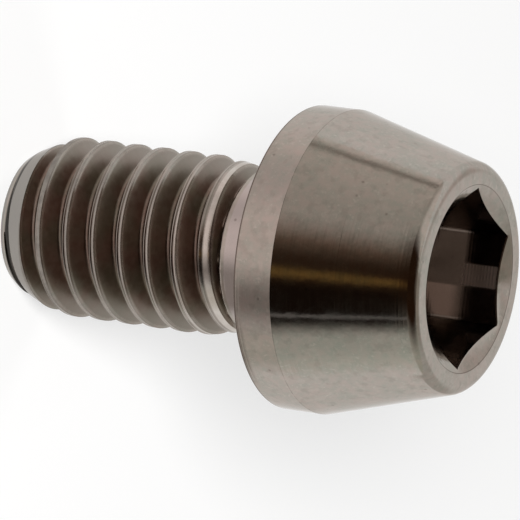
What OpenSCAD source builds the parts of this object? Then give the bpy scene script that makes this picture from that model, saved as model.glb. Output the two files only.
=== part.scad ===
// Tapered-head socket cap screw, turned and thread-rolled from one bar.
// The bearing face under the head is z = 0, the drive end is up (+Z) and the thread hangs below it.

/* [Head] */
// Diameter of the head at the bearing face
head_d = 9.8; // [8.6:0.1:14]
// Height of the head, bearing face to drive end
head_h = 5.85; // [5:0.01:9]
// Height of the straight band above the bearing face
band_h = 1.31; // [0.6:0.01:2]
// Diameter to which the taper narrows at the drive end, before rounding
drive_end_d = 7.34; // [7.1:0.02:8.4]
// Radius of the rounding between the taper and the drive end
drive_end_round = 0.4; // [0.1:0.05:0.5]
// Radius of the rounding on the bearing side of the rim
rim_round = 0.05; // [0.03:0.01:0.4]

/* [Hex socket] */
// Width of the socket across its flats
hex_af = 5; // [3:0.05:5.1]
// Depth of the flats below the drive end
hex_depth = 3; // [1.5:0.1:3.6]
// Full angle of the lead-in cone at the mouth
mouth_angle = 130; // [90:5:150]
// How far the lead-in cone reaches outside the hexagon's corners
mouth_margin = 0.13; // [0.05:0.01:0.3]
// Depth of the drill point that closes the socket
floor_cone_h = 1.4; // [0.2:0.05:1.6]

/* [Thread] */
// Major diameter of the thread
thread_d = 5.82; // [5:0.01:6.5]
// Pitch of the thread, right-handed
pitch = 1; // [0.75:0.05:1.2]
// Length from the bearing face to the end of the screw
length = 10.1; // [8:0.01:30]
// Turn of the thread about the axis
thread_turn = 354; // [0:1:359]
// Facets in one turn of the thread's flanks
turn_steps = 48; // [24:4:60]

/* [Neck and run-out] */
// Radial step from the thread's crest down to the plain neck
neck_step = 0.31; // [0.2:0.01:0.45]
// Length of the plain neck under the head
neck_len = 1.7; // [1:0.05:3]
// Radius of the fillet between neck and head
neck_fillet = 0.41; // [0.1:0.01:0.6]
// Length over which the crests sink to the neck
runout_len = 1.6; // [0.4:0.05:2.5]

/* [Point] */
// Length of the cone that leads the thread in, from the end
lead_len = 1.5; // [0.8:0.05:2.5]
// Radial depth of the lead-in cone below the crest
lead_depth = 0.51; // [0.2:0.01:0.6]
// Length of the end chamfer
point_h = 0.32; // [0.1:0.01:0.6]
// Radial depth of the end chamfer
point_depth = 0.21; // [0.1:0.01:0.6]

/* [Hidden] */
$fn = 96;

// Sizes of the 60 degree thread, from its diameter and pitch
crest_r = thread_d / 2;
flank_tan = tan(30);
crest_half = pitch / 16;
root_r = crest_r - 0.61343 * pitch;
root_half = pitch / 2 - crest_half - (crest_r - root_r) * flank_tan;
// The flanks run on to a sharp edge, which the round envelope below trims to the crest
sharp_r = crest_r + crest_half / flank_tan;

// Shank
neck_r = crest_r - neck_step;
lead_r = crest_r - lead_depth;
point_r = lead_r - point_depth;
overlap = 0.3;

// Head taper: its half angle, and the centre of the rounding at the drive end
taper = atan((head_d - drive_end_d) / 2 / (head_h - band_h));
round_z = head_h - drive_end_round;
round_r = head_d / 2 - (round_z - band_h) * tan(taper) - drive_end_round / cos(taper);

// Socket
hex_corner_r = hex_af / 2 / cos(30);
mouth_r = hex_corner_r + mouth_margin;
mouth_h = mouth_r / tan(mouth_angle / 2);

// Half section of the head and neck, the axis on x = 0
module head_section() {
    taper_end = [round_r + drive_end_round * cos(taper), round_z + drive_end_round * sin(taper)];
    polygon([
        [0, 0],
        [head_d / 2 - rim_round, 0],
        [head_d / 2, rim_round],
        [head_d / 2, band_h],
        taper_end,
        [round_r, head_h],
        [0, head_h]
    ]);
    translate([round_r, round_z]) circle(drive_end_round);
    translate([head_d / 2 - rim_round, rim_round]) circle(rim_round);
}

// Half section of the neck, sunk into the thread at one end and filleted to the head at the other
module neck_section() {
    inside_r = root_r - overlap;
    polygon([
        [0, -neck_len - (neck_r - inside_r)],
        [inside_r, -neck_len - (neck_r - inside_r)],
        [neck_r, -neck_len],
        [neck_r, overlap],
        [0, overlap]
    ]);
    difference() {
        translate([neck_r - overlap, -neck_fillet])
            square([neck_fillet + overlap, neck_fillet + overlap]);
        translate([neck_r + neck_fillet, -neck_fillet]) circle(neck_fillet);
    }
}

// Half section that trims the thread: end chamfer, lead-in cone, full crest, run-out to the neck
module thread_envelope() {
    runout_end = -neck_len;
    inside_r = neck_r - overlap;
    polygon([
        [0, -length],
        [point_r, -length],
        [lead_r, -length + point_h],
        [crest_r, -length + lead_len],
        [crest_r, runout_end - runout_len],
        [neck_r, runout_end],
        [inside_r, runout_end + overlap],
        [0, runout_end + overlap]
    ]);
}

// One pitch of the thread as [height, radius]: sharp crest, then the two corners of the root
thread_form = [
    [0, sharp_r],
    [pitch / 2 - root_half, root_r],
    [pitch / 2 + root_half, root_r]
];

// Threaded rod that runs past both ends of the envelope
module threaded_rod() {
    forms = len(thread_form);
    bottom = -length - 2 * pitch;
    turns = ceil((length - neck_len) / pitch) + 4;
    steps = turns * turn_steps;
    below = steps * forms + forms;
    above = below + 1;

    function at(i, p) = i * forms + p;

    spots = [
        for (i = [0 : steps], p = [0 : forms - 1])
            let (turned = 360 * i / turn_steps, r = thread_form[p][1])
                [r * cos(turned), r * sin(turned), bottom + pitch * i / turn_steps + thread_form[p][0]]
    ];
    axis_ends = [
        [0, 0, bottom + pitch / 2],
        [0, 0, bottom + turns * pitch + pitch / 2]
    ];
    flanks = [
        for (i = [0 : steps - 1], p = [0 : forms - 2])
            each [
                [at(i, p), at(i + 1, p + 1), at(i + 1, p)],
                [at(i, p), at(i, p + 1), at(i + 1, p + 1)]
            ]
    ];
    next_turn = [
        for (i = [0 : steps - turn_steps - 1])
            let (up = i + turn_steps)
                each [
                    [at(i, forms - 1), at(up + 1, 0), at(i + 1, forms - 1)],
                    [at(i, forms - 1), at(up, 0), at(up + 1, 0)]
                ]
    ];
    lower_edge = [
        for (i = [0 : turn_steps]) at(i, 0),
        for (p = [forms - 1 : -1 : 1]) at(0, p)
    ];
    upper_edge = [
        for (i = [steps - turn_steps : steps]) at(i, forms - 1),
        for (p = [forms - 2 : -1 : 0]) at(steps, p)
    ];
    lower_cap = [
        for (k = [0 : len(lower_edge) - 1])
            [below, lower_edge[k], lower_edge[(k + 1) % len(lower_edge)]]
    ];
    upper_cap = [
        for (k = [0 : len(upper_edge) - 1])
            [above, upper_edge[(k + 1) % len(upper_edge)], upper_edge[k]]
    ];
    rotate([0, 0, thread_turn])
        polyhedron(concat(spots, axis_ends), concat(flanks, next_turn, lower_cap, upper_cap));
}

// Threaded part of the shank
module threaded_shank() {
    intersection() {
        threaded_rod();
        rotate_extrude() thread_envelope();
    }
}

// Hexagonal socket with its lead-in cone and the drill point at its floor
module drive_socket() {
    floor_z = head_h - hex_depth;
    translate([0, 0, floor_z]) cylinder(r = hex_corner_r, h = hex_depth + overlap, $fn = 6);
    translate([0, 0, head_h - mouth_h]) cylinder(r1 = 0, r2 = mouth_r, h = mouth_h);
    translate([0, 0, floor_z - floor_cone_h])
        cylinder(r1 = 0, r2 = hex_af / 2, h = floor_cone_h);
}

module screw() {
    color("#8a807a")
        difference() {
            union() {
                rotate_extrude() head_section();
                rotate_extrude() neck_section();
                threaded_shank();
            }
            drive_socket();
        }
}

screw();
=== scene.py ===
# %% [markdown]
# # A tapered-head socket screw in bare titanium
#
# This lesson builds one small machine screw: a conical head with a hexagonal socket, a plain neck
# and a short rolled thread. It is a single piece of metal, so it becomes a single mesh with a single
# finish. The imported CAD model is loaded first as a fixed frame. It gives the outer sizes, so the new
# mesh can be shaped around them and never drifts from the real part.

# %% Load the frame
import math

import bmesh
import bpy
from mathutils import Matrix, Vector


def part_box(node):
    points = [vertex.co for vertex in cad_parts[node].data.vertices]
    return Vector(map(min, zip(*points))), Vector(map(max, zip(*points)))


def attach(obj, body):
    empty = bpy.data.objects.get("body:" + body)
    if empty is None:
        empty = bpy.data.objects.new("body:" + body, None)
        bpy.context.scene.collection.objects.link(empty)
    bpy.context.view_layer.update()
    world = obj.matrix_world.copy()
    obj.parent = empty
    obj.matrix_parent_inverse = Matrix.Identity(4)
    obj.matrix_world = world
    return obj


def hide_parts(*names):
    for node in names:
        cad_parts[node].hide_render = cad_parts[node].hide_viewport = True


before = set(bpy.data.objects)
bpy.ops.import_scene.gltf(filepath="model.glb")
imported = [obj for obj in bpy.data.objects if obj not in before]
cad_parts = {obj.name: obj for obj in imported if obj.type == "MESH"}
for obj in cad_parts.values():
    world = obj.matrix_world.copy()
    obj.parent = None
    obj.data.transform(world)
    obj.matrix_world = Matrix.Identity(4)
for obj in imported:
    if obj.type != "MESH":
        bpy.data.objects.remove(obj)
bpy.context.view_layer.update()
MM = 0.001

low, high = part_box("screw")
HEAD_R = high[0]
HEAD_H = high[2]
END_Z = low[2]
print("head radius", HEAD_R / MM, "head height", HEAD_H / MM, "end at", END_Z / MM)

# %% [markdown]
# ## The camera
#
# The screw stands on its flat end, but the photograph shows it lying to the left. Nothing is laid
# down for that: the camera is rolled on its side instead, which gives the same picture. It looks a
# little down on the drive end, from the front, through a long lens so that the perspective is weak.

# %% Camera
VIEW_AZIMUTH = math.radians(-2.294)
VIEW_ELEVATION = math.radians(27.843)
AXIS_SLOPE = math.radians(7.678)
CAMERA_DISTANCE = 230 * MM
LENS = 497.9
AIM_RIGHT = -1.506 * MM
AIM_DOWN = 0.087 * MM

towards = Vector((
    math.sin(VIEW_AZIMUTH) * math.cos(VIEW_ELEVATION),
    -math.cos(VIEW_AZIMUTH) * math.cos(VIEW_ELEVATION),
    math.sin(VIEW_ELEVATION),
))
axis_in_view = (Vector((0, 0, 1)) - towards * towards.z).normalized()
across_view = towards.cross(axis_in_view)
view_right = math.cos(AXIS_SLOPE) * axis_in_view + math.sin(AXIS_SLOPE) * across_view
view_up = -math.sin(AXIS_SLOPE) * axis_in_view + math.cos(AXIS_SLOPE) * across_view

camera = bpy.data.objects.new("camera", bpy.data.cameras.new("camera"))
bpy.context.scene.collection.objects.link(camera)
camera.data.lens = LENS
camera.data.clip_start = 5 * MM
camera.matrix_world = Matrix.Translation(
    towards * CAMERA_DISTANCE + view_right * AIM_RIGHT - view_up * AIM_DOWN
) @ Matrix((view_right, view_up, towards)).transposed().to_4x4()
bpy.context.scene.camera = camera
print("camera at", [round(x / MM, 1) for x in camera.location])

# %% [markdown]
# ## The head
#
# The head was turned on a lathe, and Blender's spin does the same work. Half of its section is drawn
# as one flat face, the corners are rounded while they are still corners, and only then is the
# outline turned once round the axis. Rounding first gives each edge its own radius.

# %% Half section of the head
BAND_H = 1.31 * MM
DRIVE_END_R = 3.67 * MM
HEX_HALF = 2.5 * MM
MOUTH_MARGIN = 0.13 * MM
DRIVE_END_ROUND = 0.4 * MM
BAND_ROUND = 0.06 * MM
RIM_ROUND = 0.05 * MM
NECK_FILLET = 0.41 * MM
NECK_R = 2.60 * MM
NECK_JOIN_Z = -0.6 * MM
AROUND = 192

hex_corner_r = HEX_HALF / math.cos(math.radians(30))
mouth_r = hex_corner_r + MOUTH_MARGIN


def tangent_length(before, corner, after, radius):
    """How far along its two edges a corner is cut back to take this radius."""
    turn = (corner - before).angle(after - corner)
    return radius * math.tan(turn / 2)


section = [
    (Vector((mouth_r, 0, HEAD_H)), 0),
    (Vector((DRIVE_END_R, 0, HEAD_H)), DRIVE_END_ROUND),
    (Vector((HEAD_R, 0, BAND_H)), BAND_ROUND),
    (Vector((HEAD_R, 0, 0)), RIM_ROUND),
    (Vector((NECK_R, 0, 0)), NECK_FILLET),
    (Vector((NECK_R, 0, NECK_JOIN_Z)), 0),
]
inside = [Vector((mouth_r / 2, 0, NECK_JOIN_Z)), Vector((mouth_r / 2, 0, HEAD_H))]

screw = bmesh.new()
corners = [screw.verts.new(spot) for spot, radius in section]
inner = [screw.verts.new(spot) for spot in inside]
screw.faces.new(corners + inner)
for i in range(1, len(section) - 1):
    spots = [section[k][0] for k in (i - 1, i, i + 1)]
    bmesh.ops.bevel(
        screw, geom=[corners[i]], offset=tangent_length(*spots, section[i][1]),
        offset_type="OFFSET", affect="VERTICES", segments=10, profile=0.5, material=-1,
    )
bmesh.ops.delete(screw, geom=inner, context="VERTS")
LONG_EDGE = 0.6 * MM
for edge in [e for e in screw.edges if e.calc_length() > LONG_EDGE]:
    bmesh.ops.subdivide_edges(screw, edges=[edge], cuts=int(edge.calc_length() / LONG_EDGE) + 1)
print("section points", len(screw.verts))

# %% [markdown]
# What is left of the section is an open outline from the mouth down to the neck. Spun through a full
# turn, with the last step merged into the first, it becomes a closed skin round the axis.

# %% Turn the section into the head
bmesh.ops.spin(
    screw, geom=screw.verts[:] + screw.edges[:], cent=(0, 0, 0), axis=(0, 0, 1),
    angle=2 * math.pi, steps=AROUND, use_merge=True,
)
print("head faces", len(screw.faces))

# %% [markdown]
# ## The socket
#
# A hexagon cut through a conical mouth leaves six scalloped edges, low in the middle of each flat
# and high in the corners. The mouth's rim is extruded inwards to start the cone. Each new point then
# moves to the hexagon in its own direction, and its height follows the cone, so the scallops come
# out by themselves. More extrusions carry the flats down and close the floor.

# %% Socket
MOUTH_HALF_ANGLE = math.radians(65)
HEX_FLOOR_Z = HEAD_H - 3.0 * MM
FLOOR_CONE_R = 2.44 * MM
FLOOR_CONE_H = 1.4 * MM
FLOOR_TIP_R = 0.05 * MM
SCALLOP_ROUND = 0.025 * MM
MOUTH_ROUND = 0.03 * MM


def hex_radius(angle):
    """Distance from the axis to the hexagon in this direction, with a corner on +X."""
    return HEX_HALF / math.cos(angle % math.radians(60) - math.radians(30))


def rim(mesh, test):
    """The open edges whose two ends pass the test."""
    return [e for e in mesh.edges if e.is_boundary and all(test(v.co) for v in e.verts)]


def extrude_rim(mesh, edges, place):
    """Extrudes an open rim, puts each new point where place says, and returns the new rim."""
    made = bmesh.ops.extrude_edge_only(mesh, edges=edges)["geom"]
    for vert in [g for g in made if isinstance(g, bmesh.types.BMVert)]:
        angle = math.atan2(vert.co.y, vert.co.x)
        r, z = place(angle, vert.co)
        vert.co = Vector((r * math.cos(angle), r * math.sin(angle), z))
    return [g for g in made if isinstance(g, bmesh.types.BMEdge) and g.is_boundary]


def on_mouth_cone(angle, spot):
    """Where the hexagon meets the conical mouth in this direction."""
    r = hex_radius(angle)
    return r, HEAD_H - (mouth_r - r) / math.tan(MOUTH_HALF_ANGLE)


mouth_edge = rim(screw, lambda co: co.z > HEAD_H - 0.01 * MM)
scallops = extrude_rim(screw, mouth_edge, on_mouth_cone)
flats_end = extrude_rim(screw, scallops, lambda angle, co: (hex_radius(angle), HEX_FLOOR_Z))
ledge = extrude_rim(screw, flats_end, lambda angle, co: (FLOOR_CONE_R, HEX_FLOOR_Z))
tip_ring = extrude_rim(screw, ledge, lambda angle, co: (FLOOR_TIP_R, HEX_FLOOR_Z - FLOOR_CONE_H))
bmesh.ops.edgeloop_fill(screw, edges=tip_ring)
for edges, width in ((scallops, SCALLOP_ROUND), (mouth_edge, MOUTH_ROUND)):
    bmesh.ops.bevel(
        screw, geom=edges, offset=width, offset_type="OFFSET", affect="EDGES", segments=3,
        profile=0.5, material=-1,
    )
print("head and socket faces", len(screw.faces))

# %% [markdown]
# ## The thread
#
# The thread is a helix, and spin can climb while it turns. One pitch of outline is swept up the
# screw, each turn meeting the one below, which gives a sheet whose rows follow the thread. Then every
# point takes its true radius: flanks at sixty degrees, a rounded root, and a crest with the fine
# seam that rolling leaves. At the end the crests are cut to the lead-in cone, and under the head the
# whole form fades into the neck.

# %% Sweep one pitch up the screw
PITCH = 1.0 * MM
CREST_R = 2.91 * MM
TURN_STEPS = 144
THREAD_FOOT_Z = -11.582 * MM
TURNS = 12
HALF_POINTS = 13

thread = bmesh.new()
pitch_line = [
    thread.verts.new((CREST_R, 0, THREAD_FOOT_Z + PITCH * k / (2 * HALF_POINTS)))
    for k in range(2 * HALF_POINTS + 1)
]
for a, b in zip(pitch_line, pitch_line[1:]):
    thread.edges.new((a, b))
bmesh.ops.spin(
    thread, geom=thread.verts[:] + thread.edges[:], cent=(0, 0, 0), axis=(0, 0, 1),
    dvec=(0, 0, PITCH / TURN_STEPS), angle=2 * math.pi, steps=TURN_STEPS,
)
first_turn = thread.verts[:] + thread.edges[:] + thread.faces[:]
for turn in range(1, TURNS):
    copied = bmesh.ops.duplicate(thread, geom=first_turn)["geom"]
    points = [g for g in copied if isinstance(g, bmesh.types.BMVert)]
    bmesh.ops.translate(thread, verts=points, vec=(0, 0, turn * PITCH))
bmesh.ops.remove_doubles(thread, verts=thread.verts[:], dist=0.001 * MM)
print("thread sheet points", len(thread.verts))

# %% [markdown]
# The rows of the sheet are not spread evenly. They are set close together on the crest, where edges
# and the seam need them, and wider on the flanks. Where the lead-in or the run-out cuts a crest, its
# flat land grows wider, and the rows move with it.

# %% Give every point its place on the thread
FLANK_TAN = math.tan(math.radians(30))
ROOT_R = CREST_R - 0.61343 * PITCH
CREST_HALF = PITCH / 13
SHARP_R = CREST_R + CREST_HALF / FLANK_TAN
POINT_R = 2.19 * MM
LEAD_R = 2.40 * MM
LEAD_Z = END_Z + 0.32 * MM
FULL_Z = END_Z + 1.5 * MM
RUNOUT_START_Z = -3.3 * MM
RUNOUT_END_Z = -1.6 * MM
NECK_EDGE_Z = -1.76 * MM
NECK_EDGE_SLOPE = 1.3
SEAM_DEPTH = 0.022 * MM
SEAM_PLACE = -0.1
SEAM_WIDTH = 0.42
NECK_SOFT = 0.03 * MM
EDGE_SOFT = 0.003 * MM
ROOT_SOFT = 0.03 * MM
CREST_SHARES = (0, 0.3, 0.6, 0.85, 1, 1.15)
FLANK_STEPS = 5
ROOT_STEPS = 3
FLANK_END = 0.40 * PITCH


def between(value, start, end):
    """How far a value has come from start to end, from 0 to 1."""
    return min(max((value - start) / (end - start), 0), 1)


def crest_limit(z):
    """How far out a crest may reach: end chamfer, lead-in cone, full crest, run-out."""
    if z < LEAD_Z:
        return POINT_R + (LEAD_R - POINT_R) * (z - END_Z) / (LEAD_Z - END_Z)
    lead = LEAD_R + (CREST_R - LEAD_R) * between(z, LEAD_Z, FULL_Z)
    return lead - (CREST_R - NECK_R) * between(z, RUNOUT_START_Z, RUNOUT_END_Z)


def soft_max(a, b, soft):
    """The larger of two values, with a rounded change from one to the other."""
    return (a + b + math.sqrt((a - b) ** 2 + soft ** 2)) / 2


def neck_core(z):
    """The plain neck, and the short cone on which it ends in the last groove."""
    return NECK_R - max(NECK_EDGE_Z - z, 0) * NECK_EDGE_SLOPE


def half_land(crest_z, side):
    """Half the width of the crest's land, wider where the lead-in or the run-out cuts the crest."""
    land = CREST_HALF
    for _ in range(4):
        land = (SHARP_R - crest_limit(crest_z + side * land)) * FLANK_TAN
    return min(max(land, CREST_HALF), FLANK_END - 0.06 * PITCH)


def row_offset(row, land):
    """How far a row of the sheet lies from the crest's middle."""
    crest_rows = len(CREST_SHARES) - 1
    if row <= crest_rows:
        return land * CREST_SHARES[row]
    start = land * CREST_SHARES[-1]
    if row <= crest_rows + FLANK_STEPS:
        return start + (FLANK_END - start) * (row - crest_rows) / FLANK_STEPS
    return FLANK_END + (PITCH / 2 - FLANK_END) * (row - crest_rows - FLANK_STEPS) / ROOT_STEPS


def thread_radius(offset, z, land):
    """The thread's radius at this distance from the middle of its crest."""
    flank = soft_max(SHARP_R - abs(offset) / FLANK_TAN, ROOT_R, ROOT_SOFT)
    flank = soft_max(flank, neck_core(z), NECK_SOFT)
    rolled = between(z, FULL_Z, FULL_Z + PITCH) * between(z, RUNOUT_END_Z, RUNOUT_START_Z)
    seam = SEAM_DEPTH * rolled * math.exp(-((offset / land - SEAM_PLACE) / SEAM_WIDTH) ** 2)
    return -soft_max(-flank, -crest_limit(z), EDGE_SOFT) - seam


for vert in thread.verts:
    angle = math.atan2(vert.co.y, vert.co.x)
    climbed = (vert.co.z - THREAD_FOOT_Z) / PITCH - angle / (2 * math.pi)
    row = round((climbed % 1) * 2 * HALF_POINTS) % (2 * HALF_POINTS) - HALF_POINTS
    crest_z = vert.co.z - row * PITCH / (2 * HALF_POINTS)
    side = 1 if row >= 0 else -1
    land = half_land(crest_z, side)
    offset = side * row_offset(abs(row), land)
    z = crest_z + offset
    r = thread_radius(offset, z, land)
    vert.co = Vector((r * math.cos(angle), r * math.sin(angle), z))
print("root radius", ROOT_R / MM)

# %% [markdown]
# ## One piece of metal
#
# The sheet is longer than the shank, so two flat cuts trim it: one in the neck, where a bridge joins
# it to the head, and one just above the end, where two small extrusions round the edge and a flat
# face closes it. The screw is then one closed mesh.

# %% Trim, join and close
END_TRIM_Z = END_Z + 0.03 * MM
END_ROUND_STEPS = ((0.012 * MM, 0.01 * MM), (0.02 * MM, 0))
for height, up in ((NECK_JOIN_Z - 0.1 * MM, 1), (END_TRIM_Z, -1)):
    bmesh.ops.bisect_plane(
        thread, geom=thread.verts[:] + thread.edges[:] + thread.faces[:], dist=0.0001 * MM,
        plane_co=(0, 0, height), plane_no=(0, 0, up), clear_outer=True,
    )
bmesh.ops.remove_doubles(thread, verts=thread.verts[:], dist=0.002 * MM)
end_rim = rim(thread, lambda co: co.z < END_TRIM_Z + 0.01 * MM)
for inwards, up in END_ROUND_STEPS:
    end_rim = extrude_rim(thread, end_rim, lambda angle, co: (co.xy.length - inwards, END_Z + up))
end_face = bmesh.ops.edgeloop_fill(thread, edges=end_rim)["faces"]
bmesh.ops.inset_region(thread, faces=end_face, thickness=0.03 * MM)

thread_mesh = bpy.data.meshes.new("thread_part")
thread.to_mesh(thread_mesh)
thread.free()
screw.from_mesh(thread_mesh)
bpy.data.meshes.remove(thread_mesh)
neck_rims = rim(screw, lambda co: NECK_JOIN_Z - 0.11 * MM < co.z < NECK_JOIN_Z + 0.01 * MM)
bmesh.ops.bridge_loops(screw, edges=neck_rims)
bmesh.ops.recalc_face_normals(screw, faces=screw.faces[:])
open_edges = [e for e in screw.edges if not e.is_manifold]
print("faces", len(screw.faces), "open edges", len(open_edges))

# %% [markdown]
# Smooth shading hides the small faces, and edges that turn sharply are marked so that they stay
# crisp. The mesh goes to its object at the origin, since its place is already in its points.

# %% Mesh object
SHARP_ANGLE = math.radians(38)
for face in screw.faces:
    face.smooth = True
for edge in screw.edges:
    if len(edge.link_faces) == 2 and edge.calc_face_angle() > SHARP_ANGLE:
        edge.smooth = False
mesh = bpy.data.meshes.new("titanium_screw")
screw.to_mesh(mesh)
screw.free()
titanium_screw = bpy.data.objects.new("titanium_screw", mesh)
bpy.context.scene.collection.objects.link(titanium_screw)
print("triangles", sum(len(p.vertices) - 2 for p in mesh.polygons))

# %% [markdown]
# ## Sums on wires
#
# A finish is a sum of many small effects, and sums are easier to read in Python than as a web of
# nodes. This class holds one output of a node. Adding or multiplying two of them makes the Math node
# that does it, and one method makes every other kind of node.

# %% Wires
class Wire:
    """One output of a node, which can be used in sums."""

    def __init__(self, tree, socket=None):
        self.tree = tree
        self.socket = socket

    def node(self, kind, settings=None, inputs=None, output=0):
        """Adds a node: its settings first, then the values or links of its sockets."""
        made = self.tree.nodes.new(kind)
        for name, value in (settings or {}).items():
            setattr(made, name, value)
        for name, value in (inputs or {}).items():
            if isinstance(value, Wire):
                self.tree.links.new(value.socket, made.inputs[name])
            else:
                made.inputs[name].default_value = value
        return Wire(self.tree, made.outputs[output])

    def other(self, output):
        """Another output of the same node."""
        return Wire(self.tree, self.socket.node.outputs[output])

    def math(self, operation, *values):
        return self.node("ShaderNodeMath", {"operation": operation}, dict(enumerate(values)))

    def __add__(self, value):
        return self.math("ADD", self, value)

    def __sub__(self, value):
        return self.math("SUBTRACT", self, value)

    def __rsub__(self, value):
        return self.math("SUBTRACT", value, self)

    def __mul__(self, value):
        return self.math("MULTIPLY", self, value)

    def __truediv__(self, value):
        return self.math("DIVIDE", self, value)

    __radd__ = __add__
    __rmul__ = __mul__

    def rise(self, start, end):
        """A soft step: 0 up to start, 1 from end on."""
        return self.node(
            "ShaderNodeMapRange", {"interpolation_type": "SMOOTHSTEP"},
            {"Value": self, "From Min": start, "From Max": end},
        )

    def ramp(self, start, end):
        """A straight climb: 0 up to start, 1 from end on."""
        return self.node("ShaderNodeMapRange", {}, {"Value": self, "From Min": start, "From Max": end})

    def band(self, start, end, soft):
        """1 between start and end, 0 outside, with soft edges."""
        return self.rise(start - soft, start + soft) * (1 - self.rise(end - soft, end + soft))

    def paint(self, under, over):
        """Lays one colour over another where this mask is 1."""
        return self.node("ShaderNodeMix", {"data_type": "RGBA"}, {0: self, 6: under, 7: over}, 2)


def gray(level):
    """A grey of this brightness, as a colour with full opacity."""
    return (level, level, level, 1)


# %% [markdown]
# ## The finish
#
# Bare titanium is a warm, slightly brown grey metal. Three things keep it from looking like plastic
# chrome. Turning leaves fine rings, so a thin bump follows the height on the head and the radius on
# the thread. Handling leaves a faint cloudiness in colour and gloss. And the rolled grooves and the
# socket keep a dark film that the crests and edges have lost. Some of the colour below is also
# painted light and shade, which stands in for how the light falls. All of it is worked out from
# Object coordinates, so it stays with the metal from every side.
#
# First come the masks: which point lies on the thread, in a groove, in the seam or in the socket.
# Each soft edge is a pair of values in millimetres, between which its mask changes.

# %% Where on the screw
THREAD_TOP = (-1.8, -1.7)
GROOVE_EDGE = (0.03, 0.13)
SEAM_EDGE = (0.008, 0.014)
SEAM_END = (0.03, 0.06)
MOUTH_EDGE = (0.03, 0.08)
SOCKET_WALL = (2.92, 2.95)
SOCKET_BOTTOM = (1.5, 2)
FLATS_BOTTOM = (2.87, 2.90)

metal = bpy.data.materials.new("bare_titanium")
metal.use_nodes = True
shader = metal.node_tree.nodes["Principled BSDF"]
shader.inputs["Metallic"].default_value = 1
shader.inputs["Specular Tint"].default_value = (0.8, 0.78, 0.76, 1)
mesh.materials.append(metal)

wire = Wire(metal.node_tree)
spot = wire.node("ShaderNodeTexCoord", output="Object")
east = wire.node("ShaderNodeSeparateXYZ", inputs={0: spot}) / MM
north = wire.node("ShaderNodeSeparateXYZ", inputs={0: spot}, output="Y") / MM
height = wire.node("ShaderNodeSeparateXYZ", inputs={0: spot}, output="Z") / MM
radius = wire.math("SQRT", east * east + north * north)

on_thread = 1 - height.rise(*THREAD_TOP)
above_point = height.rise(LEAD_Z / MM, LEAD_Z / MM + 0.1)
lead = height.ramp(LEAD_Z / MM, FULL_Z / MM)
runout = height.ramp(RUNOUT_START_Z / MM, RUNOUT_END_Z / MM)
crest = LEAD_R / MM + (CREST_R - LEAD_R) / MM * lead - (CREST_R - NECK_R) / MM * runout
depth = crest - radius
in_groove = depth.rise(*GROOVE_EDGE) * on_thread * above_point
in_seam = depth.rise(*SEAM_EDGE) * (1 - depth.rise(*SEAM_END)) * on_thread * above_point

mouth_cone = HEAD_H / MM - (mouth_r / MM - radius) / math.tan(MOUTH_HALF_ANGLE)
in_socket = (mouth_cone - height).rise(*MOUTH_EDGE) * (1 - radius.rise(*SOCKET_WALL))
in_socket = in_socket * height.rise(*SOCKET_BOTTOM)
on_flats = in_socket * height.rise(*FLATS_BOTTOM)
print("places", len(metal.node_tree.nodes), "nodes")

# %% [markdown]
# The rings are a noise with one dimension, so it changes along the cut and never round it. On the
# head the cut runs with height plus radius, which covers the band, the cone and the flat faces with
# one sum. On the thread it runs with the radius alone, and lines of equal radius follow the helix.
# The socket was broached, so its marks run along the axis and the noise is drawn out that way, with
# faint chatter across it. A slow swell under it all makes the edges of the reflections a little
# uneven, as on the real cone.

# %% Tool marks
RING_LINES = 5.0
FEED_LINES = 11.0
CHATTER_LINES = 9.0
SCORE_LINES = 16.0
SCORE_PATCHES = 0.7
SWELL_SIZE = 0.45
SWELL_SHARE = 2.2
BROACH_SIZE = 0.16
BROACH_STRETCH = 12
GRAIN_SIZE = 0.05


def cloud(size, stretch=1.0, detail=2.0):
    """A soft noise with features of about this size in mm, drawn out along the axis by stretch."""
    place = wire.node("ShaderNodeCombineXYZ", inputs={0: east, 1: north, 2: height / stretch})
    return wire.node(
        "ShaderNodeTexNoise", inputs={"Vector": place, "Scale": 1 / size, "Detail": detail}
    )


def lines(along, number, detail):
    """A noise in one dimension, with about this number of lines in a mm."""
    return wire.node(
        "ShaderNodeTexNoise", {"noise_dimensions": "1D"},
        {"W": along, "Scale": number, "Detail": detail},
    )


def wave(along, number):
    """An even wave, with this number of crests in a mm."""
    return wire.math("SINE", along * (number * 2 * math.pi))


cut = radius + height * (1 - on_thread)
scored = lines(cut, SCORE_LINES, 1.0).rise(0.5, 0.8) * cloud(SCORE_PATCHES).rise(0.42, 0.62)
scored = scored * (1 - on_thread) * 0.3
turned = lines(cut, RING_LINES, 3.0) + wave(cut, FEED_LINES) * 0.05 + scored
turned = turned + cloud(SWELL_SIZE) * SWELL_SHARE
chatter = wave(height, CHATTER_LINES)
broached = cloud(BROACH_SIZE, BROACH_STRETCH) * 2 + chatter * 0.15
grain = cloud(GRAIN_SIZE) * (0.12 + 0.25 * in_groove - 0.12 * in_socket)
marks = turned + on_flats * (broached - turned) + grain
print("tool marks", len(metal.node_tree.nodes), "nodes")

# %% [markdown]
# Colour is laid on in coats, from the broadest to the finest. The first coat is the metal itself. A
# single grey would look like paint, so it drifts between a pinkish and a greenish grey in large and
# small clouds, with pale specks and a few stains.

# %% Bare metal
PINKISH = (0.410, 0.352, 0.314, 1)
GREENISH = (0.352, 0.338, 0.296, 1)
STAIN = (0.265, 0.235, 0.205, 1)
PALE_SPECK = (0.45, 0.405, 0.36, 1)
CLOUD_SIZE = 1.3
PATCH_SIZE = 0.26
SPECK_SIZE = 0.12
STAIN_SIZE = 0.34
PALE_SIZE = 0.3

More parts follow.
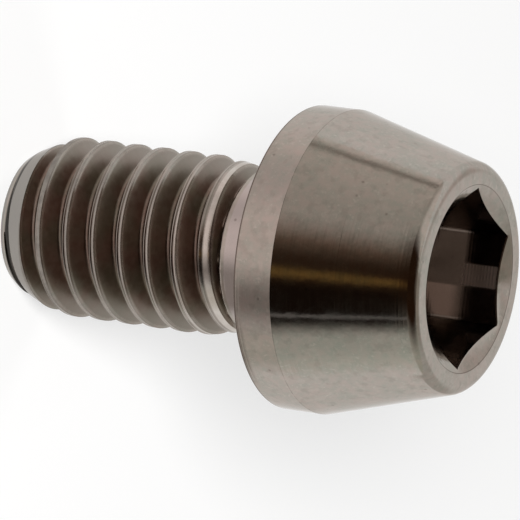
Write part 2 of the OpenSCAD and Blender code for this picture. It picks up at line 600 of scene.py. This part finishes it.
cloudy = cloud(CLOUD_SIZE).rise(0.38, 0.62)
patchy = cloud(PATCH_SIZE).rise(0.35, 0.65)
specks = cloud(SPECK_SIZE, detail=1.0).rise(0.55, 0.75)
colour = (0.45 * cloudy + 0.55 * patchy).paint(PINKISH, GREENISH)
colour = (0.8 * specks * patchy).paint(colour, PALE_SPECK)
colour = (0.30 * cloud(STAIN_SIZE).rise(0.52, 0.68)).paint(colour, STAIN)
colour = (0.35 * cloud(PALE_SIZE).rise(0.54, 0.7)).paint(colour, PALE_SPECK)
print("bare metal", len(metal.node_tree.nodes), "nodes")

# %% [markdown]
# Rolling and broaching leave a film. In the grooves it is dark, between red-brown and olive, and
# that darkness is partly film and partly painted shade. At the thread's two sides the grooves are
# paler, a painted highlight where the real grooves catch light. The neck is a lighter grey than the
# head. In the socket the film is thin. One flat carries painted reflections: a bright one low down
# on one side, painted shade near the mouth on both sides of a rough strip of chatter that has a
# painted reflection along it, and a thin painted glint in each corner. Painting them is a shortcut.
# These patches are placed by how far they lie across the flat and by their height, each with the
# softness of its edges.

# %% Film, painted shade and painted reflections in the grooves and the socket
GROOVE_RED = (0.195, 0.138, 0.112, 1)
GROOVE_OLIVE = (0.180, 0.152, 0.118, 1)
GROOVE_SIDE_PAINTED_HIGHLIGHT = (0.33, 0.30, 0.265, 1)
SOCKET_FILM = (0.375, 0.33, 0.30, 1)
SOCKET_PAINTED_REFLECTION = (0.86, 0.74, 0.69, 1)
SOCKET_PAINTED_SHADE = (0.09, 0.07, 0.06, 1)
CORNER_GLINT = gray(0.95)
NECK = (0.475, 0.420, 0.402, 1)
FLAT_PAINTED_REFLECTION = (0.35, 1.36, 0.04)
FLAT_PAINTED_SHADE_LEFT = (-1.5, -0.40, 0.05)
FLAT_PAINTED_SHADE_RIGHT = (0.34, 1.5, 0.08)
FLAT_STRIP = (-0.40, 0.32, 0.05)
LEFT_CORNER = (-1.43, -1.37, 0.01)
RIGHT_CORNER = (1.36, 1.41, 0.01)

# Groove colour: partly film, partly painted shade.
film_and_painted_light = cloudy.paint(GROOVE_RED, GROOVE_OLIVE)
# Painted highlight: the grooves are paler at the thread's two sides.
film_and_painted_light = (0.7 * (east * east).rise(2.8, 7.2)).paint(film_and_painted_light, GROOVE_SIDE_PAINTED_HIGHLIGHT)
colour = (in_groove * (1 - 0.15 * patchy)).paint(colour, film_and_painted_light)
on_neck = height.band(-1.62, -0.02, 0.03) * (1 - radius.rise(2.9, 3.1))
colour = (on_neck * 0.8).paint(colour, NECK)

colour = in_socket.paint(colour, SOCKET_FILM)
far_flat = north.rise(2.40, 2.46) * in_socket
# Painted reflection: a bright patch low down on one side of the far flat.
flat_painted_reflection = east.band(*FLAT_PAINTED_REFLECTION) * (1 - height.rise(3.9, 4.4))
# Painted shade: dark patches near the mouth on both sides of the strip.
flat_painted_shade = east.band(*FLAT_PAINTED_SHADE_LEFT) + 0.8 * east.band(*FLAT_PAINTED_SHADE_RIGHT)
flat_painted_shade = flat_painted_shade * height.rise(4.3, 4.5)
rough_strip = far_flat * east.band(*FLAT_STRIP) * height.rise(4.2, 4.5)
glint = east.band(*LEFT_CORNER) + east.band(*RIGHT_CORNER)
glint = glint * (1 - height.rise(4.2, 4.7))
colour = (far_flat * flat_painted_reflection).paint(colour, SOCKET_PAINTED_REFLECTION)
colour = (far_flat * flat_painted_shade).paint(colour, SOCKET_PAINTED_SHADE)
# Painted reflection along the rough strip, broken by the chatter.
colour = (rough_strip * (0.6 + 0.3 * chatter * patchy)).paint(colour, SOCKET_PAINTED_REFLECTION)
colour = (far_flat * glint).paint(colour, CORNER_GLINT)
print("film_and_painted_light", len(metal.node_tree.nodes), "nodes")

# %% [markdown]
# Crests rub against everything, so their film is gone. Their colour also carries painted light: a
# painted highlight that grows towards the head and painted shade towards the end. On the run-out only
# the head side of the crest is bright, a painted highlight, and the tip side has painted shade with a
# paler line in it. A point's place across the crest comes from the helix itself: its height less its
# share of a turn, of which the whole turns are dropped. The seam keeps a dark line, partly dirt and
# partly painted shade, fainter at the thread's two sides. The lead-in at the end was cut last; it and
# the point take a tone of their own, painted for the light that falls there.

# %% Crests and end: wear, dirt and painted light
CREST_WEAR_AND_HIGHLIGHT = (0.43, 0.39, 0.355, 1)
CREST_PAINTED_SHADE_TIP = (0.200, 0.177, 0.157, 1)
RUNOUT_PAINTED_HIGHLIGHT = (0.56, 0.515, 0.47, 1)
RUNOUT_PAINTED_SHADE = (0.20, 0.172, 0.15, 1)
LEAD_IN_PAINTED_TONE = (0.300, 0.281, 0.259, 1)
DIRT_AND_SHADE = (0.13, 0.10, 0.085, 1)
CREST_SKIN = (0.006, 0.012)
CREST_MIDDLE = (-0.04, 0.015)
SHOULDER_GLEAM = (-0.12, -0.09, 0.015)

share_of_turn = wire.math("ARCTAN2", north, east) / (2 * math.pi)
climbed = height * (MM / PITCH) - share_of_turn - THREAD_FOOT_Z / PITCH
from_crest = wire.math("FRACT", climbed) - 0.5
# Painted shade on the tip side of the run-out's crest, with a paler line in it.
runout_painted_shade_mask = (1 - from_crest.rise(*CREST_MIDDLE)) * height.rise(-3.5, -2.9)
runout_painted_shade_mask = runout_painted_shade_mask * (1 - 0.5 * from_crest.band(*SHOULDER_GLEAM))
# Painted light on the crests: a painted highlight towards the head, painted shade towards the end.
crest_wear_and_light = height.ramp(-8.5, -2).paint(CREST_PAINTED_SHADE_TIP, CREST_WEAR_AND_HIGHLIGHT)
# Painted highlight on the run-out's crest.
crest_wear_and_light = height.rise(-3.7, -2.7).paint(crest_wear_and_light, RUNOUT_PAINTED_HIGHLIGHT)
crest_wear_and_light = (0.85 * runout_painted_shade_mask).paint(crest_wear_and_light, RUNOUT_PAINTED_SHADE)
crest_wear_and_light_mask = on_thread * (1 - depth.rise(*CREST_SKIN)) * (0.7 + 0.3 * patchy)
colour = crest_wear_and_light_mask.paint(colour, crest_wear_and_light)
# Seam line: partly dirt, partly painted shade, fainter at the thread's two sides.
seam_dirt_and_shade = in_seam * (0.8 - 0.65 * (east * east).rise(2.2, 5.5))
colour = seam_dirt_and_shade.paint(colour, DIRT_AND_SHADE)

end_z = END_Z / MM
# Painted light on the lead-in and the point: a tone of their own for how the light falls there.
cut_lead = (1 - height.rise(end_z + 0.9, end_z + 1.0)) * (1 - depth.rise(0.02, 0.04))
cut_point = 1 - height.rise(end_z + 0.13, end_z + 0.16)
colour = (cut_lead + cut_point).paint(colour, LEAD_IN_PAINTED_TONE)
print("wear", len(metal.node_tree.nodes), "nodes")

# %% [markdown]
# The finest coat is dark lines and pits. Along the rim's underside the dark hairline is painted
# shade, where the rim meets the neck. Dark hairlines also run along the band's upper edge and the
# mouth, a dark stripe lies at the top of the chamfer at the end, and dirt lies in a few pits. The
# pits are the middles of some Voronoi cells, chosen by the cell's own random colour.

# %% Dark lines, painted shade and pits
POINT_DARK_STRIPE = (0.05, 0.046, 0.042, 1)
PIT_SPACING = 0.45

band_z = BAND_H / MM
# Painted shade: a dark hairline along the rim's underside, where the rim meets the neck.
rim_painted_shade = radius.rise(4.82, 4.84) * (1 - height.rise(0.05, 0.08))
band_line = radius.rise(4.86, 4.87) * height.band(band_z + 0.002, band_z + 0.018, 0.006)
band_line = band_line * (0.2 + 0.5 * patchy)
mouth_line = radius.band(mouth_r / MM - 0.022, mouth_r / MM + 0.004, 0.006) * height.rise(5.7, 5.75)
edge_lines = rim_painted_shade * 0.92 + band_line + mouth_line * 0.7
colour = edge_lines.paint(colour, DIRT_AND_SHADE)
# A dark stripe at the top of the end chamfer.
colour = height.band(end_z + 0.22, end_z + 0.39, 0.03).paint(colour, POINT_DARK_STRIPE)

pit_place = wire.node("ShaderNodeCombineXYZ", inputs={0: east, 1: north, 2: height})
pit_cells = wire.node("ShaderNodeTexVoronoi", inputs={"Vector": pit_place, "Scale": 1 / PIT_SPACING})
chosen = wire.node("ShaderNodeSeparateColor", inputs={0: pit_cells.other("Color")}).rise(0.74, 0.84)
pits = (1 - pit_cells.rise(0.03, 0.17)) * chosen * (1 - on_thread)
colour = (pits * 0.5).paint(colour, DIRT_AND_SHADE)
metal.node_tree.links.new(colour.socket, shader.inputs["Base Color"])
print("colour", len(metal.node_tree.nodes), "nodes")

# %% [markdown]
# Gloss and relief finish the metal. The turned faces are close to a polish, the film is duller, and
# the rough strip in the socket is the dullest. All the marks together are only a few thousandths of a
# millimetre deep, so they are a bump and not geometry.

# %% Gloss and relief
RELIEF_DEPTH = 1.6e-6

gloss = 0.075 + 0.03 * cloudy + 0.03 * patchy
gloss = gloss + 0.18 * in_groove + 0.05 * on_thread
gloss = gloss + 0.03 * in_socket * broached + 0.23 * rough_strip
metal.node_tree.links.new(gloss.socket, shader.inputs["Roughness"])
relief = wire.node(
    "ShaderNodeBump", inputs={"Strength": 1.0, "Distance": RELIEF_DEPTH, "Height": marks - 0.8 * pits}
)
metal.node_tree.links.new(relief.socket, shader.inputs["Normal"])
print("finish", len(metal.node_tree.nodes), "nodes")

# %% [markdown]
# ## Floor and light
#
# The floor is white paper under plain lamps. Paper alone never photographs quite white, so a share of
# its white glows by itself, for the camera and for what the metal mirrors alike. The rest is lit, and
# keeps the shadow.

# %% Floor
FLOOR_R = 70 * MM
PAPER = 0.4

floor_mesh = bmesh.new()
bmesh.ops.create_circle(floor_mesh, cap_ends=True, segments=128, radius=FLOOR_R)
bmesh.ops.translate(floor_mesh, verts=floor_mesh.verts[:], vec=(0, 0, END_Z))
floor_data = bpy.data.meshes.new("floor")
floor_mesh.to_mesh(floor_data)
floor_mesh.free()
floor = bpy.data.objects.new("floor", floor_data)
bpy.context.scene.collection.objects.link(floor)


def looked_at(tree):
    """1 where the camera, a mirror or a glass looks, 0 where light only passes on."""
    path = Wire(tree).node("ShaderNodeLightPath", output="Is Camera Ray")
    return path + path.other("Is Glossy Ray") + path.other("Is Transmission Ray")


paper = bpy.data.materials.new("white_paper")
paper.use_nodes = True
paper_shader = paper.node_tree.nodes["Principled BSDF"]
paper_shader.inputs["Base Color"].default_value = gray(PAPER)
paper_shader.inputs["Roughness"].default_value = 0.9
paper_shader.inputs["Specular IOR Level"].default_value = 0.1
paper_shader.inputs["Emission Strength"].default_value = 1
paper_glow = looked_at(paper.node_tree).paint(gray(0), gray(1 - PAPER))
paper.node_tree.links.new(paper_glow.socket, paper_shader.inputs["Emission Color"])
floor_data.materials.append(paper)
print("floor at", END_Z / MM, "radius", FLOOR_R / MM)

# %% [markdown]
# Shiny metal has no look of its own: it shows the room. This room is white to look at, and gives
# only a weak light to the paper, so that the lamps can make a shadow.

# %% Room
AMBIENT = 0.1

world = bpy.data.worlds.new("studio")
bpy.context.scene.world = world
world.use_nodes = True
white_room = looked_at(world.node_tree).paint(gray(AMBIENT), gray(1))
world.node_tree.links.new(white_room.socket, world.node_tree.nodes["Background"].inputs["Color"])
print("room light", AMBIENT)

# %% [markdown]
# In an all-white room the cone would be one flat grey. So cards stand round the screw, as a
# photographer would set them. They are there for the mirror images only, and cast no light and no
# shadow. Each card is a line swept round the axis, and the shade of each point follows from its
# bearing: its azimuth, its elevation and its distance.

# %% How a card is made
CARD_R = 300 * MM
CARD_FOOT = -14
CARD_TOP = 90
CARD_STEPS = 24


def card(name, start, end, line):
    """Sweeps a line of (distance, height) round the screw between two azimuths, for the mirror only."""
    shape = bmesh.new()
    turn = math.radians(start)
    points = [
        shape.verts.new((math.sin(turn) * distance, -math.cos(turn) * distance, height))
        for distance, height in line
    ]
    for a, b in zip(points, points[1:]):
        shape.edges.new((a, b))
    bmesh.ops.spin(
        shape, geom=shape.verts[:] + shape.edges[:], cent=(0, 0, 0), axis=(0, 0, 1),
        angle=math.radians(end - start), steps=2 * CARD_STEPS,
    )
    data = bpy.data.meshes.new(name)
    shape.to_mesh(data)
    shape.free()
    made = bpy.data.objects.new(name, data)
    bpy.context.scene.collection.objects.link(made)
    for kind in ("camera", "diffuse", "transmission", "shadow"):
        setattr(made, "visible_" + kind, False)
    data.materials.append(bpy.data.materials.new(name))
    data.materials[0].use_nodes = True
    return data.materials[0]


def upright_line():
    """The line of a card that stands round the screw, from below the floor to the zenith."""
    step = (CARD_TOP - CARD_FOOT) / CARD_STEPS
    rises = [math.radians(CARD_FOOT + step * k) for k in range(CARD_STEPS + 1)]
    return [(CARD_R * math.cos(rise), CARD_R * math.sin(rise)) for rise in rises]


def bearings(material, side=1):
    """Azimuth from the camera's side, or from the far side with -1, elevation and distance in mm."""
    place = Wire(material.node_tree).node("ShaderNodeTexCoord", output="Object")
    right = place.node("ShaderNodeSeparateXYZ", inputs={0: place})
    back = right.other("Y")
    distance = right.math("SQRT", right * right + back * back)
    azimuth = right.math("ARCTAN2", right * side, back * -side) * math.degrees(1)
    elevation = right.math("ARCTAN2", right.other("Z"), distance) * math.degrees(1)
    return azimuth, elevation, distance / MM


def finish_card(material, shade):
    """Gives the card its shades as plain brightness, with no light needed on it."""
    face = material.node_tree.nodes["Principled BSDF"]
    face.inputs["Base Color"].default_value = gray(0)
    face.inputs["Specular IOR Level"].default_value = 0
    face.inputs["Emission Strength"].default_value = 1
    material.node_tree.links.new(shade.socket, face.inputs["Emission Color"])
    print(material.name, len(material.node_tree.nodes), "nodes")


# %% [markdown]
# The front card reaches from the left side past the camera to the right side, and up to the zenith.
# Its lower part is what the cone mirrors: grey on the left, then brown, then a dim middle where the
# camera's own dark side would be, and pale on the right. A dark edge, a warm streak and a thin pale
# gap become lines along the cone. Its upper part is what the rounding at the drive end mirrors.

# %% Front card
WHITE_CARD = gray(1)
GREY_CARD = (0.55, 0.515, 0.48, 1)
GREY_LEFT = (0.68, 0.635, 0.595, 1)
BROWN_SHADE = (0.20, 0.14, 0.105, 1)
BROWN_DIM = (0.040, 0.022, 0.013, 1)
DIM_ROOM = (0.010, 0.006, 0.004, 1)
SIDE_CARD = (0.60, 0.62, 0.58, 1)
SIDE_PALE = (0.80, 0.82, 0.77, 1)
CARD_EDGE = (0.27, 0.24, 0.215, 1)
WARM_STREAK = (0.20, 0.12, 0.038, 1)
PALE_GAP = gray(0.25)
PALE_HIGH = (0.86, 0.81, 0.78, 1)
DIM_HIGH = (0.030, 0.014, 0.007, 1)
SIDE_HIGH = (0.62, 0.62, 0.56, 1)
ZENITH = (0.38, 0.34, 0.29, 1)
LEFT_END = -99
RIGHT_END = 106

front = card("front_card", LEFT_END, RIGHT_END, upright_line())
azimuth, elevation, _ = bearings(front)
shade = azimuth.rise(-84, -40).paint(GREY_LEFT, GREY_CARD)
shade = azimuth.rise(-36, -10).paint(shade, BROWN_SHADE)
shade = azimuth.rise(-20, 1).paint(shade, BROWN_DIM)
shade = azimuth.rise(10, 22).paint(shade, DIM_ROOM)
shade = azimuth.rise(44, 62).paint(shade, SIDE_CARD)
shade = azimuth.rise(62, 92).paint(shade, SIDE_PALE)
shade = azimuth.rise(84, 106).paint(shade, WHITE_CARD)
shade = (1 - azimuth.rise(-98, -92)).paint(shade, PALE_HIGH)
shade = azimuth.band(-92, -88, 3).paint(shade, CARD_EDGE)
shade = azimuth.band(7.5, 13.5, 3).paint(shade, WARM_STREAK)
shade = azimuth.band(41, 43, 1.5).paint(shade, PALE_GAP)
shade = ((1 - elevation.rise(-8, -5)) * azimuth.rise(60, 90)).paint(shade, WHITE_CARD)
above = elevation.rise(14, 42).paint(GREY_CARD, PALE_HIGH)
above = azimuth.rise(-52, -22).paint(above, DIM_HIGH)
above = (azimuth - elevation * 0.8).rise(16, 76).paint(above, SIDE_HIGH)
above = elevation.rise(66, 96).paint(above, ZENITH)
finish_card(front, elevation.rise(2, 12).paint(shade, above))

# %% [markdown]
# The back card closes the circle. The ring round the socket and the far sides of the cone mirror it,
# so it is pale, with a few greyer patches, and white where it meets the floor.

# %% Back card
BACK_CARD = (0.90, 0.90, 0.90, 1)
BACK_LEFT = (0.68, 0.64, 0.62, 1)
BACK_RIGHT = (0.66, 0.65, 0.63, 1)
BACK_HIGH = (0.42, 0.39, 0.35, 1)

back = card("back_card", RIGHT_END, LEFT_END + 360, upright_line())
azimuth, elevation, _ = bearings(back, -1)
shade = (azimuth.band(8, 40, 12) * elevation.rise(16, 30)).paint(BACK_CARD, BACK_LEFT)
shade = azimuth.band(-80, -30, 10).paint(shade, BACK_RIGHT)
shade = (elevation.rise(46, 66) * (1 - azimuth.rise(-14, 12))).paint(shade, BACK_HIGH)
finish_card(back, (1 - elevation.rise(-8, -5)).paint(shade, WHITE_CARD))

# %% [markdown]
# Seen from above, the straight band and the neck mirror the paper and not the upright cards. A flat
# ring lies on it, with painted warm light in front and on the left, and soft stripes. The left, right
# and near stripes are painted shadows of the screw. The band mirrors the stripes farther out and the
# neck those nearer in.

# %% Card on the paper
PAPER_PAINTED_WARM_LIGHT = (0.92, 0.83, 0.808, 1)
LEFT_PAINTED_SHADOW = (0.73, 0.665, 0.65, 1)
RIGHT_PAINTED_SHADOW = (0.32, 0.285, 0.275, 1)
NEAR_PAINTED_SHADOW = (0.39, 0.355, 0.335, 1)
PALE_STRIPE = (0.72, 0.69, 0.65, 1)
LOW_CARD_INNER = 7 * MM
LOW_CARD_Z = END_Z + 0.05 * MM

ring_line = [(LOW_CARD_INNER, LOW_CARD_Z), (FLOOR_R, LOW_CARD_Z)]
low_card = card("low_card", -180, 180, ring_line)
azimuth, _, distance = bearings(low_card)
far = distance.rise(20, 23)
near = distance.rise(13, 16) * (1 - far)
# Painted warm light on the paper in front and on the left.
shade = azimuth.band(-95, 40, 25).paint(WHITE_CARD, PAPER_PAINTED_WARM_LIGHT)
# Painted shadows of the screw: the left, right and near stripes.
shade = azimuth.band(-72, -36, 14).paint(shade, LEFT_PAINTED_SHADOW)
shade = azimuth.band(52, 85, 10).paint(shade, PALE_STRIPE)
shade = (far * azimuth.rise(2, 30) * (1 - azimuth.rise(34, 66))).paint(shade, RIGHT_PAINTED_SHADOW)
shade = (near * azimuth.rise(0, 36) * (1 - azimuth.rise(78, 116))).paint(shade, NEAR_PAINTED_SHADOW)
finish_card(low_card, shade)

# %% [markdown]
# Three round lamps light the scene. The key stands by the camera, so the screw's shadow falls behind
# it. Two weak lamps behind, one on each side, open that shadow. The metal doesn't mirror the lamps
# themselves, since the cards already give it its highlights.

# %% Lamps
LAMP_SIZE = 70 * MM


def lamp(name, azimuth, elevation, distance, power, colour):
    """An area lamp that faces the screw; azimuth is counted from the camera's side."""
    data = bpy.data.lights.new(name, "AREA")
    data.shape = "DISK"
    data.size = LAMP_SIZE
    data.energy = power
    data.color = colour
    made = bpy.data.objects.new(name, data)
    bpy.context.scene.collection.objects.link(made)
    turn = VIEW_AZIMUTH + math.radians(azimuth) - math.pi / 2
    rise = math.radians(elevation)
    out = Vector((math.cos(turn) * math.cos(rise), math.sin(turn) * math.cos(rise), math.sin(rise)))
    made.location = out * distance
    made.rotation_euler = out.to_track_quat("Z", "Y").to_euler()
    made.visible_glossy = False
    print(name, "lamp at", [round(x / MM) for x in made.location], "power", power)


lamp("key", -5, 30, 240 * MM, 0.796, (1, 0.99, 0.98))
lamp("left", -126, 33, 220 * MM, 0.088, (1, 0.98, 0.96))
lamp("right", 126, 33, 220 * MM, 0.088, (0.96, 1, 1))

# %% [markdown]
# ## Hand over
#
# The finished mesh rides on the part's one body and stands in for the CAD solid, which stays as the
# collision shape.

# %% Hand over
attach(titanium_screw, "root")
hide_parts("screw")
bpy.context.scene.view_settings.view_transform = "Standard"
print(titanium_screw.name, "rides on root and stands in for screw")
